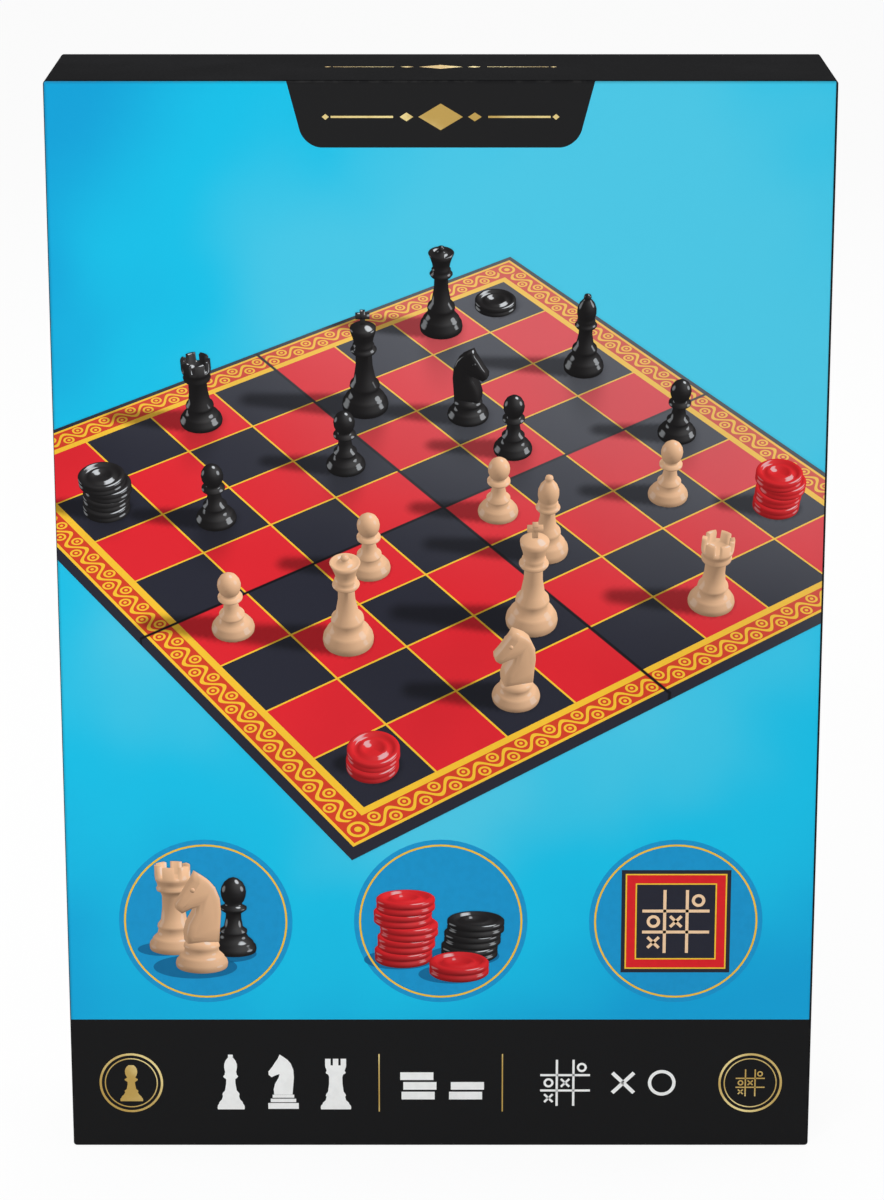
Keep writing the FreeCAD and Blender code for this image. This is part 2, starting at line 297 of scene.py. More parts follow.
# %% [markdown]
# The wrap of the box is printed paper under a satin laminate. Its front is a blue sky that deepens
# towards the edges, with a black band at the foot and a black tab at the top; the walls are black.
# One material can tell them apart by where the point lies and which way it faces. The paper's fine
# tooth is a bump, the laminate a thin coat, and the folded edges are rubbed a little paler, with
# painted shade along the folds.

# %% Printed wrap of the lid
wrap_black = ink(30, 30, 31)
band_black = ink(19, 19, 20)
tab_black = ink(27, 27, 28)
# the black of the side walls' edge line, and of the darkest painted shade at the folds
fold_shade_and_edge_black = ink(10, 10, 12)
rubbed_edge = ink(96, 95, 94)
ink_on_fibre = ink(46, 46, 48)
film_weight = 0.16
wall_film = 0.012
liner_pale = ink(222, 219, 212)
liner_deep = ink(204, 200, 191)
sky_pale = ink(74, 196, 226)
sky_plain = ink(20, 188, 227)
sky_deep = ink(15, 158, 211)
band_top = 49.3 * millimetre
tab_half_top = 51.9 * millimetre
tab_half_foot = 46.0 * millimetre
tab_height = 22.6 * millimetre
tab_round = 6.0 * millimetre
# how far the painted shade along the lid's folds reaches
fold_shade = 1.4 * millimetre
left_line, right_line = 0.32 * millimetre, 0.78 * millimetre


def laminate(paint, colour, film=film_weight, raised=0.0):
    """Printed paper under film: fine tooth, faint cloudiness, a thin coat, and any raised steps."""
    tooth = paint.noise(2600.0, 2.0)
    cloud = paint.noise(38.0, 3.0)
    return paint.surface({"Base Color": colour, "Roughness": 0.50 + 0.12 * cloud, "Specular IOR Level": 0.0,
                          "Coat Weight": film, "Coat Roughness": 0.3,
                          "Normal": paint.bump(tooth + 0.6 * cloud + raised, 0.12, 0.00010)})


def fibrous(paint, colour):
    """Black ink on paper is never one black: fibres and soft clouds show through it."""
    fibre = paint.noise(1100.0, 4.0, 0.7)
    cloud = paint.noise(24.0, 3.0)
    thin_ink = paint.smooth(fibre, 0.42, 0.72) * 0.35 + paint.smooth(cloud, 0.4, 0.75) * 0.25
    return paint.mix(thin_ink, colour, ink_on_fibre)


def from_edge(x, z, low, high):
    """How far a point lies from the nearest edge of an upright rectangle."""
    return (x - low.x).smaller(high.x - x).smaller((z - low.z).smaller(high.z - z))


def corner_flaps(paint, low, high):
    """The wrap's end flaps turn round the corners and lie under the side walls' paper."""
    x, y, z = paint.place()
    reach = (high.z - z).smaller(z - low.z)
    on_side = abs(paint.facing()[0]) > 0.7
    return 6.0 * on_side * (1 - paint.smooth(reach, 11.8 * millimetre, 12.2 * millimetre))


def worn(paint, colour, low, high, reach):
    """Rub the colour paler close to the folded edges of a box between two corners."""
    near = []
    for axis, wire in enumerate(paint.place()):
        near.append((wire - low[axis]).smaller(high[axis] - wire))
    first, second, third = near
    # the two nearest pairs of faces make an edge: the middle one of the three distances
    edge = first.smaller(second).larger(first.larger(second).smaller(third))
    patchy = paint.noise(210.0, 4.0, 0.62)
    rub = (1 - paint.smooth(edge, 0, reach)) * paint.smooth(patchy, 0.46, 0.66)
    return paint.mix(rub * 0.12, colour, rubbed_edge)


def lined(paint, outer, low, high, open_side):
    """Pale board inside a half of the box, with the wrap turned in along its open rim."""
    x, y, z = paint.place()
    wall = 0.8 * millimetre
    inside = (x > low.x + wall) * (x < high.x - wall) * (z > low.z + wall) * (z < high.z - wall)
    from_rim = (high.y - y) if open_side > 0 else (y - low.y)
    panel = (y > low.y + wall) if open_side > 0 else (y < high.y - wall)
    turned_in = from_rim < 15 * millimetre
    fibre = paint.noise(1500.0, 4.0, 0.6)
    board = paint.mix(paint.smooth(fibre, 0.3, 0.7), liner_pale, liner_deep)
    return paint.mix(inside * panel, outer, paint.mix(turned_in, board, outer))


def lid_wrap():
    paint = Finish("printed_lid_wrap")
    x, y, z = paint.place()
    faces = paint.facing()
    is_front = faces[1] < -0.7
    across = abs(x)
    # the sky: palest above the middle, deeper towards the foot, the upper left and the lower right
    sky_centre = (0.10 * box_width, front, 0.66 * box_height)
    centre = paint.vector_maths("DISTANCE", paint.point(), sky_centre, "Value")
    drift = paint.noise(11.0, 2.0)
    sky_lean = 0.38 * paint.smooth(z, 0.39 * box_height, 0.85 * box_height) - 0.22
    spread = centre + 0.16 * (drift - 0.5) - sky_lean * x
    sky = paint.mix(paint.smooth(spread, 0.09, 0.165), sky_pale, sky_plain)
    sky = paint.mix(paint.smooth(spread, 0.16, 0.25), sky, sky_deep)
    band = z < band_top
    # the tab: a trapezium with rounded lower corners
    from_top = lid_high.z - z
    lean = tab_half_foot + (tab_half_top - tab_half_foot) * (1 - from_top / tab_height)
    corner_x = (across - (lean - tab_round)).larger(0)
    corner_z = (from_top - (tab_height - tab_round)).larger(0)
    corner = (corner_x * corner_x + corner_z * corner_z) < tab_round ** 2
    tab = corner * (from_top < tab_height)
    # painted shade darkens the print where the paper turns over a fold,
    # and the side walls' black comes round as a line
    fold_shade_share = 1 - paint.smooth(from_edge(x, z, lid_low, lid_high), 0, fold_shade)
    printed = paint.mix(0.4 * fold_shade_share, paint.mix(band, sky, band_black), fold_shade_and_edge_black)
    printed = paint.mix(tab, printed, paint.mix(0.9 * fold_shade_share, tab_black, fold_shade_and_edge_black))
    side_line = (x > lid_high.x - right_line).larger(x < lid_low.x + left_line)
    printed = paint.mix(side_line, printed, fold_shade_and_edge_black)
    # painted shade: the black walls darken further close to the front fold
    front_fold_shade = 1 - paint.smooth(y - front, 0, 2.5 * fold_shade)
    walls_black = paint.mix(0.9 * front_fold_shade, fibrous(paint, wrap_black), fold_shade_and_edge_black)
    wrap = paint.mix(is_front, walls_black, printed)
    wrap = lined(paint, wrap, lid_low, lid_high, 1)
    film = wall_film + (film_weight - wall_film) * is_front
    return laminate(paint, worn(paint, wrap, lid_low, lid_high, 1.2 * millimetre), film,
                    corner_flaps(paint, lid_low, lid_high))


def base_wrap():
    paint = Finish("plain_base_wrap")
    base_low, base_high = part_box("base")
    wrap = lined(paint, fibrous(paint, wrap_black), base_low, base_high, -1)
    return laminate(paint, worn(paint, wrap, base_low, base_high, 1.2 * millimetre), wall_film,
                    corner_flaps(paint, base_low, base_high))


dress(["lid"], lid_wrap())
dress(["base"], base_wrap())
print("wrap dressed")

# %% [markdown]
# The front carries a picture of the games inside: a board with men and draughts on it. Here the
# picture is drawn by a small camera of its own. Each printed thing is modelled full size in a
# little world where the board lies flat, then every point is moved to where that camera sees it on
# the front of the box. What was depth there becomes a relief of a third of a millimetre, so nearer
# things still cover farther ones, and a printed picture stays a print from any side.

# %% The picture's own camera
square = 42.0
board_half = 4.5 * square


class Sight:
    """A camera for a printed picture, and the place of that picture on the front."""

    def __init__(self, centre, scale, turn, tilt, distance, depths, gap, relief):
        level = math.cos(tilt)
        self.back = Vector((math.sin(turn) * level, -math.cos(turn) * level, math.sin(tilt)))
        self.right = Vector((math.cos(turn), math.sin(turn), 0))
        self.up = self.back.cross(self.right)
        self.eye = distance * self.back
        self.centre, self.scale, self.distance = centre, scale, distance
        self.near, self.far = depths
        self.gap, self.relief = gap, relief
        self.lamp = (Vector((0.30, -0.35, 0.88)).normalized() + 0.55 * self.right).normalized()

    def printed(self, point):
        """Where a point of the little world lands on the front of the box, in metres."""
        ray = point - self.eye
        depth = -ray.dot(self.back)
        scale = self.scale * self.distance / depth
        proud = self.gap + self.relief * (self.far - depth) / (self.far - self.near)
        across = self.centre[0] + scale * ray.dot(self.right)
        up = self.centre[1] + scale * ray.dot(self.up)
        return Vector((across * millimetre, front - proud * millimetre, up * millimetre))

    def hides(self, face):
        return face.normal.dot(self.eye - face.calc_center_median()) < 0


board_sight = Sight((1.0, 240.0), 0.64, math.radians(-36), math.radians(38), 1150.0, (800.0, 1480.0),
                    0.06, 0.34)


def hand_over(shape, name, material, body="lid"):
    """Make a printed piece that rides on its half of the box."""
    piece = to_object(shape, name, material)
    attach(piece, body)
    return piece


print("the picture's camera stands", round(board_sight.eye.z), "mm above the board")

# %% [markdown]
# The men are turned on a lathe, so each is one outline spun about its axis. An outline is a list of
# heights and radii in millimetres, from the foot up. What isn't round is added after the spin: the
# king's cross, the rook's notched rim and the knight's head, which is cut from a flat outline and
# rounded at its edges.

# %% Outlines of the men
foot_outline = [(0, 1.0), (0.035, 1.02), (0.075, 0.99), (0.10, 0.90), (0.125, 0.88), (0.15, 0.80),
                (0.18, 0.68)]
# each man: its height, the radius of its foot, and heights and radii as shares of these
outlines = {
    "pawn": (38, 10.7, foot_outline + [
        (0.24, 0.56), (0.26, 0.60), (0.29, 0.60), (0.33, 0.42), (0.45, 0.34), (0.52, 0.33), (0.55, 0.48),
        (0.575, 0.58), (0.60, 0.58), (0.625, 0.42), (0.65, 0.36), (0.69, 0.46), (0.75, 0.53), (0.81, 0.55),
        (0.87, 0.51), (0.93, 0.40), (0.975, 0.22), (1, 0)]),
    "rook": (43, 11.8, foot_outline + [
        (0.25, 0.62), (0.27, 0.67), (0.30, 0.65), (0.35, 0.52), (0.50, 0.45), (0.64, 0.44), (0.69, 0.50),
        (0.71, 0.64), (0.735, 0.66), (0.76, 0.60), (0.80, 0.63), (0.83, 0.68), (0.87, 0.70), (0.87, 0.50),
        (0.85, 0.47), (0.85, 0)]),
    "bishop": (52, 11.5, foot_outline + [
        (0.24, 0.60), (0.26, 0.64), (0.29, 0.62), (0.34, 0.44), (0.46, 0.35), (0.54, 0.34), (0.57, 0.50),
        (0.59, 0.56), (0.61, 0.50), (0.635, 0.42), (0.65, 0.46), (0.665, 0.40), (0.70, 0.44), (0.75, 0.48),
        (0.81, 0.47), (0.87, 0.38), (0.92, 0.22), (0.935, 0.16), (0.955, 0.19), (0.98, 0.16), (1, 0)]),
    "queen": (58, 12.6, foot_outline + [
        (0.24, 0.62), (0.26, 0.66), (0.29, 0.64), (0.34, 0.46), (0.50, 0.34), (0.62, 0.32), (0.65, 0.48),
        (0.67, 0.54), (0.69, 0.48), (0.71, 0.40), (0.725, 0.45), (0.74, 0.38), (0.80, 0.42), (0.87, 0.52),
        (0.915, 0.60), (0.92, 0.52), (0.90, 0.38), (0.93, 0.26), (0.945, 0.14), (0.96, 0.17), (0.985, 0.14),
        (1, 0)]),
    "king": (58, 13.0, foot_outline + [
        (0.24, 0.62), (0.26, 0.66), (0.29, 0.64), (0.34, 0.48), (0.50, 0.37), (0.64, 0.35), (0.67, 0.52),
        (0.69, 0.57), (0.71, 0.50), (0.73, 0.42), (0.745, 0.47), (0.76, 0.40), (0.83, 0.45), (0.90, 0.54),
        (0.94, 0.56), (0.955, 0.48), (0.975, 0.30), (1, 0)]),
    "knight": (15, 11.6, [(height * 2.6, radius) for height, radius in foot_outline] + [
        (0.62, 0.66), (0.67, 0.70), (0.74, 0.68), (0.86, 0.52), (1, 0)]),
    "draught": (6, 12.5, [
        (0, 0.94), (0.12, 1), (0.38, 1), (0.44, 0.96), (0.56, 0.96), (0.62, 1), (0.88, 1), (1, 0.94),
        (1, 0.80), (0.80, 0.76), (0.80, 0.60), (0.95, 0.55), (0.95, 0.40), (0.80, 0.36), (0.80, 0)]),
}
knight_side = [(-7.2, 12.6), (-7.6, 17), (-6.4, 22), (-3.6, 27), (-2.8, 30), (-5.0, 29.4), (-9.2, 27.4),
               (-11.4, 29.4), (-11.6, 32.2), (-8.4, 36.4), (-6.0, 40.4), (-4.2, 43.0), (-2.6, 46.6),
               (0.8, 44.2), (3.6, 42.0), (6.0, 39.0), (8.0, 33.6), (8.4, 27), (7.8, 20), (7.2, 12.6)]
knight_tall = 44
neck_height = 12.6
round_steps = 54
rook_rim = 37.3
merlon_rise = 5.6


def turned(kind):
    """One outline spun about the upright axis."""
    height, radius, outline = outlines[kind]
    shape = bmesh.new()
    points = [shape.verts.new((radius * out, 0, height * up)) for up, out in outline]
    edges = [shape.edges.new(pair) for pair in zip(points, points[1:])]
    bmesh.ops.spin(shape, geom=points + edges, axis=(0, 0, 1), cent=(0, 0, 0), angle=math.tau,
                   steps=round_steps, use_merge=True)
    bmesh.ops.remove_doubles(shape, verts=shape.verts, dist=0.001)
    return shape


def add_block(shape, size, place):
    made = bmesh.ops.create_cube(shape, size=1)["verts"]
    bmesh.ops.scale(shape, verts=made, vec=size)
    bmesh.ops.translate(shape, verts=made, vec=place)


def add_knight_head(shape, thickness=9.6):
    """A horse's head: its side view, extruded and rounded."""
    points = [shape.verts.new((along, -thickness / 2, up)) for along, up in knight_side]
    side = shape.faces.new(points)
    far_side = new_points(bmesh.ops.extrude_face_region(shape, geom=[side]))
    bmesh.ops.translate(shape, verts=far_side, vec=(0, thickness, 0))
    head = set(points) | set(far_side)
    rims = [edge for edge in shape.edges if set(edge.verts) <= head
            and abs(edge.verts[0].co.y - edge.verts[1].co.y) < 0.1]
    bevelled = bmesh.ops.bevel(shape, geom=rims, offset=2.2, segments=4, profile=0.5, affect="EDGES",
                               material=-1)
    cheeks = [face for face in shape.faces if len(face.verts) == len(knight_side)]
    bmesh.ops.inset_individual(shape, faces=cheeks, thickness=1.0, depth=0.3)
    head = {vert for vert in shape.verts if vert.co.z > neck_height - 0.1} | set(bevelled["verts"])
    for side in (-1, 1):
        eye = bmesh.ops.create_uvsphere(shape, u_segments=12, v_segments=8, radius=1.15)["verts"]
        bmesh.ops.translate(shape, verts=eye, vec=(-4.6, side * thickness / 2, 38.6))
        head.update(eye)
    for vert in head:
        rise = min(max((vert.co.z - neck_height) / 33, 0), 1)
        muzzle = min(max((-vert.co.x - 4) / 7, 0), 1)
        vert.co.y *= 1.25 - 0.55 * rise - 0.22 * muzzle


def make_man(kind):
    shape = turned(kind)
    if kind == "king":
        add_block(shape, (2.8, 2.8, 8.4), (0, 0, 61.6))
        add_block(shape, (7.8, 2.8, 2.8), (0, 0, 62.6))
    if kind == "rook":
        rim = [face for face in shape.faces if face.calc_center_median().z > rook_rim]
        merlons = [face for face in rim if math.degrees(math.atan2(*face.calc_center_median().xy)) % 60 < 40]
        tops = new_points(bmesh.ops.extrude_face_region(shape, geom=merlons))
        bmesh.ops.translate(shape, verts=tops, vec=(0, 0, merlon_rise))
    if kind == "knight":
        add_knight_head(shape)
    bmesh.ops.recalc_face_normals(shape, faces=shape.faces)
    return shape


print("outlines", len(outlines))

# %% [markdown]
# A print keeps the light it was pictured in. So each man gets its light and shade worked out once,
# at every point, and stored as a colour: a soft key light from the upper right, a sky from above, and
# darker towards the foot. Glints are too small for that. So the way each point faces is stored too,
# and the finish works out between the points where the plastic mirrors a lamp or a window.

# %% Printed men and draughts
plastics = {"cream": ((238, 190, 149), 0.42), "black": ((30, 28, 29), 0.78), "red": ((214, 34, 40), 0.50)}
# each glint: the way a point has to face, to the right, up and back; where it starts, where it is
# full, and how bright it is
glints = [((0.30, 0.52, 0.80), 0.976, 0.993, 0.85), ((0.66, 0.08, 0.75), 0.984, 0.995, 0.42),
          ((-0.80, 0.10, 0.59), 0.968, 0.994, 0.22)]
glint_white = ink(236, 240, 244)
disc_step = 6.1
# shares of the light: all round, from the sky, from the key lamp and from the left
all_round, from_sky, from_key, from_left = 0.20, 0.34, 0.66, 0.12
foot_light, foot_reach = 0.72, 9.0


def lit(sight, normal, height, colour, gloss):
    """The colour that a point of a man has in the picture."""
    paint = Vector(ink(*colour)[:3])
    key = max(0.0, normal.dot(sight.lamp))
    sky = 0.5 + 0.5 * normal.z
    back = max(0.0, normal.dot(-sight.right))
    light = all_round + from_sky * sky + from_key * key + from_left * back
    light *= foot_light + (1 - foot_light) * min(1.0, height / foot_reach)
    mirror = max(0.0, normal.dot((sight.lamp + sight.back).normalized()))
    glow = 0.06 * gloss * mirror ** 9
    return (*[min(1.0, part * light + glow) for part in paint], gloss)


def print_man(picture, sight, kind, plastic, place, turn=0.0):
    """Stand a man at a place in millimetres, light it, and flatten it into the picture."""
    shape = make_man(kind)
    bmesh.ops.rotate(shape, verts=shape.verts, matrix=Matrix.Rotation(turn, 3, "Z"))
    bmesh.ops.translate(shape, verts=shape.verts, vec=place)
    shape.normal_update()
    bmesh.ops.delete(shape, geom=[face for face in shape.faces if sight.hides(face)], context="FACES")
    tint = shape.verts.layers.float_color.new("ink")
    facing = shape.verts.layers.float_vector.new("facing")
    for vert in shape.verts:
        vert[tint] = lit(sight, vert.normal, vert.co.z, *plastics[plastic])
        vert[facing] = [vert.normal.dot(way) for way in (sight.right, sight.up, sight.back)]
    for vert in shape.verts:
        vert.co = sight.printed(vert.co)
    flat = bpy.data.meshes.new("flat_man")
    shape.to_mesh(flat)
    shape.free()
    picture.from_mesh(flat)
    bpy.data.meshes.remove(flat)


def print_stack(picture, sight, plastic, place, count):
    for number in range(count):
        shift = Vector((1.3 * (number % 3 - 1), 0.8 * (number % 2), disc_step * number))
        print_man(picture, sight, "draught", plastic, place + shift)


def on_square(column, row):
    return Vector(((column - 3.5) * square, (row - 3.5) * square, 0))


def new_picture():
    picture = bmesh.new()
    picture.verts.layers.float_color.new("ink")
    picture.verts.layers.float_vector.new("facing")
    return picture


def printed_ink(name):
    """A finish of a picture's stored colours, with glints where the plastic mirrors a lamp."""
    paint = Finish(name)
    facing = paint.vector_maths("NORMALIZE", paint.stored("facing", "Vector"))
    shine = 0.0
    for way, start, full, strength in glints:
        toward = paint.vector_maths("DOT_PRODUCT", facing, way, "Value")
        shine = shine + strength * paint.smooth(toward, start, full)
    gloss = paint.stored("ink", "Alpha")
    return laminate(paint, paint.mix(gloss * shine, paint.stored("ink", "Color"), glint_white))


men = [("king", "cream", 3, 1, -0.6), ("queen", "cream", 1, 2, 0), ("rook", "cream", 5, 0, 0.2),
       ("knight", "cream", 2, 0, -0.35), ("bishop", "cream", 4, 2, 0), ("pawn", "cream", 2, 3, 0),
       ("pawn", "cream", 0, 3, 0), ("pawn", "cream", 4, 3.0, 0), ("pawn", "cream", 6, 2, 0),
       ("king", "black", 4, 6, -0.6), ("queen", "black", 6, 7, 0), ("rook", "black", 2, 7, 0.2),
       ("knight", "black", 5, 5, 2.2), ("bishop", "black", 7, 5, 0), ("pawn", "black", 3, 5, 0),
       ("pawn", "black", 1, 5, 0), ("pawn", "black", 7, 3, 0), ("pawn", "black", 5, 4, 0)]
stacks = [("red", 7, 1, 4), ("black", 0, 6, 4), ("red", 0, 0, 2), ("black", 7, 7, 1)]


def printed_men():
    picture = new_picture()
    for kind, plastic, column, row, turn in men:
        print_man(picture, board_sight, kind, plastic, on_square(column, row), turn)
    for plastic, column, row, count in stacks:
        print_stack(picture, board_sight, plastic, on_square(column, row), count)
    return hand_over(picture, "printed_men", printed_ink("printed_men"))


print("printed men", len(printed_men().data.vertices), "points")

# %% [markdown]
# The pictured board is one sheet, divided finely enough for soft shadows. Its pattern is a chequer of
# red and navy with fine yellow lines, a running scroll in the border and a navy margin. The same
# pattern prints the real board inside, so it is written once, as a function of two coordinates
# counted in squares from the middle of the board.

# %% Pattern of the board
board_red = ink(216, 36, 46)
board_navy = ink(38, 39, 50)
board_yellow = ink(240, 190, 52)
scroll_orange = ink(206, 62, 38)
# how far from the middle things start, in squares: the yellow rule, the border, its outer rule, the margin
field_end, border_start, border_end, margin_start = 4.0, 4.08, 4.39, 4.43
border_middle = (border_start + border_end) / 2
border_half = (border_end - border_start) / 2
curl_pitch = border_start / 20


def board_pattern(paint, u, v):
    """The print of the board: u and v are in squares from its middle."""
    away_u, away_v = abs(u), abs(v)
    reach = away_u.larger(away_v)
    along = (away_u > away_v) * v + (1 - (away_u > away_v)) * u
    chequer = paint.mix(((u.floor() + v.floor()) % 2) > 0.5, board_navy, board_red)
    off_u = abs((u + 0.5) % 1 - 0.5)
    off_v = abs((v + 0.5) % 1 - 0.5)
    lines = off_u.smaller(off_v) < 0.013
    field = paint.mix(lines, chequer, board_yellow)
    # running scroll: a wave with curls on alternate sides, and a rosette at each corner
    across = (reach - border_middle) / border_half
    wave = (along * (math.tau / (2 * curl_pitch))).sine()
    vine = abs(across - 0.55 * wave) < 0.17
    step = along / curl_pitch
    side = ((step.floor() % 2) - 0.5) * 2
    curl_along = ((step % 1) - 0.5) * 1.35
    curl_across = across - 0.42 * side
    curl = curl_along * curl_along + curl_across * curl_across
    ring = abs(curl - 0.17) < 0.075
    dot = curl < 0.02
    corner_u, corner_v = [(away - border_middle) / border_half for away in (away_u, away_v)]
    corner = corner_u * corner_u + corner_v * corner_v
    rosette = (abs(corner - 0.46) < 0.16).larger(corner < 0.07)
    at_corner = away_u.smaller(away_v) > border_start
    motif = at_corner * rosette + (1 - at_corner) * vine.larger(ring).larger(dot)
    scroll = paint.mix(motif, scroll_orange, board_yellow)
    pattern = paint.mix(reach > field_end, field, board_yellow)
    pattern = paint.mix(reach > border_start, pattern, scroll)
    pattern = paint.mix(reach > border_end, pattern, board_yellow)
    return paint.mix(reach > margin_start, pattern, board_navy)


print("board print: 8 by 8 squares of", square, "mm")

# %% [markdown]
# Each man darkens the board on the side away from the key light. For every point of the sheet the
# light's path is followed up past each man, treated as a slim cone: the closer the path passes to
# the axis, the deeper the shadow. The board is varnished, so it mirrors the black men as soft dark
# streaks towards the viewer, and a bright wall as a paler wash at its far right.

# %% Printed board
board_cells = 150
board_drop = 5.0
fold_dark = ink(14, 14, 20)
varnish_pale = ink(196, 200, 206)
# a man's shadow and his mirror image: how dark, how soft at the foot, and how far it fades
shadow_depth, mirror_depth = (0.62, 1.5, 0.0), (0.45, 5.0, 1.0)
longest_shadow = 90


def shadow_at(point):
    light = 1.0
    to_lamp = board_sight.lamp.xy / board_sight.lamp.z
    to_eye = board_sight.back.xy / board_sight.back.z
    casts = [(knight_tall if kind == "knight" else outlines[kind][0], outlines[kind][1],
              plastic, column, row) for kind, plastic, column, row, turn in men]
    casts += [(disc_step * count, outlines["draught"][1], plastic, column, row)
              for plastic, column, row, count in stacks]
    for tall, wide, plastic, column, row in casts:
        gap = on_square(column, row).xy - point.xy
        if gap.length > longest_shadow:
            continue
        paths = [(to_lamp, shadow_depth)] + ([(-to_eye, mirror_depth)] if plastic == "black" else [])
        for slope, (depth, blur, fade) in paths:
            height = min(max(gap.dot(slope) / slope.length_squared, 0.0), tall)
            width = wide * (1.0 - 0.5 * height / tall)
            miss = (gap - height * slope).length
            soft = blur + 0.06 * height
            share = min(max((width + soft - miss) / (2 * soft), 0.0), 1.0)
            light = min(light, 1.0 - depth * (1 - fade * height / tall) * share * share * (3 - 2 * share))
    return light


def printed_board():
    sheet = bmesh.new()
    bmesh.ops.create_grid(sheet, x_segments=board_cells, y_segments=board_cells, size=board_half)
    rim = [edge for edge in sheet.edges if edge.is_boundary]
    drop = new_points(bmesh.ops.extrude_edge_only(sheet, edges=rim))
    bmesh.ops.translate(sheet, verts=drop, vec=(0, 0, -board_drop))
    bmesh.ops.recalc_face_normals(sheet, faces=sheet.faces)
    squares = sheet.loops.layers.uv.new("squares")
    shade = sheet.verts.layers.float_color.new("shade")
    dropped = set(drop)
    for vert in sheet.verts:
        light = 0.62 if vert in dropped else shadow_at(vert.co)
        vert[shade] = (light, light, light, 1)
    for face in sheet.faces:
        for loop in face.loops:
            loop[squares].uv = loop.vert.co.xy / square
    hidden = [face for face in sheet.faces if face.normal.z < 0.5 and board_sight.hides(face)]
    bmesh.ops.delete(sheet, geom=hidden, context="FACES")
    for vert in sheet.verts:
        vert.co = board_sight.printed(vert.co)
    for edge_x, line in ((lid_low.x, left_line), (lid_high.x, right_line)):
        outward = Vector((math.copysign(1, edge_x), 0, 0))
        trim = (edge_x - outward.x * line, 0, 0)
        bmesh.ops.bisect_plane(sheet, geom=sheet.verts[:] + sheet.edges[:] + sheet.faces[:], dist=1e-7,
                               plane_co=trim, plane_no=outward, clear_outer=True)
    paint = Finish("printed_board")
    spot = paint.node("ShaderNodeUVMap", {"uv_map": "squares"})
    u, v, flat = paint.parts(spot)
    pattern = board_pattern(paint, u, v)
    crease = abs(u).smaller(abs(v))
    pattern = paint.mix(1 - paint.smooth(crease, 0.012, 0.032), pattern, fold_dark)
    fibre = paint.noise(900.0, 2.0)
    sheen = 0.94 + 0.12 * paint.smooth(paint.noise(16.0, 2.0) + 0.05 * fibre, 0.3, 0.7)
    lit_board = paint.vector_maths("MULTIPLY", pattern, paint.stored("shade", "Color"))
    lit_board = paint.node("ShaderNodeVectorMath", {"operation": "SCALE"}, {0: lit_board, "Scale": sheen})
    wall = paint.smooth(0.9 * u + 0.35 * v + 3.0 * paint.noise(9.0, 2.0), -0.5, 6.0)
    lit_board = paint.mix(0.16 * wall * paint.stored("shade", "Fac"), lit_board, varnish_pale)
    return hand_over(sheet, "printed_board", laminate(paint, lit_board))


print("printed board", len(printed_board().data.polygons), "faces")

# %% [markdown]
# Below the board the front names the games without a word. Roundels of a deeper blue hold small
# pictures, the tab carries a gold ornament and the black band a row of signs between gold rules.
# They are all flat inks, so each is a thin plate: circles, rectangles and outlines, filled and laid
# a few hundredths of a millimetre in front of the wrap, one layer over the next.

# %% Flat inks
layer_step = 0.03 * millimetre
gold = (184, 152, 82)
gold_pale = (232, 212, 148)
roundel_blue = (24, 146, 200)


# each wall: a point of it, the way it faces, its turn about the upright, and the half of the box
upright = Matrix.Rotation(math.pi / 2, 3, "X")
to_right, to_left, to_back = [Matrix.Rotation(math.radians(turn), 3, "Z") @ upright
                              for turn in (90, -90, 180)]
walls = {
    "front": (Vector((0, front, 0)), Vector((0, -1, 0)), upright, "lid"),
    "top": (Vector((0, front, lid_high.z)), Vector((0, 0, 1)), Matrix.Identity(3), "lid"),
    "right": (Vector((lid_high.x, 0, 0)), Vector((1, 0, 0)), to_right, "lid"),
    "left": (Vector((lid_low.x, 0, 0)), Vector((-1, 0, 0)), to_left, "lid"),
    "back": (Vector((0, cad_box[1].y, 0)), Vector((0, 1, 0)), to_back, "base"),
}


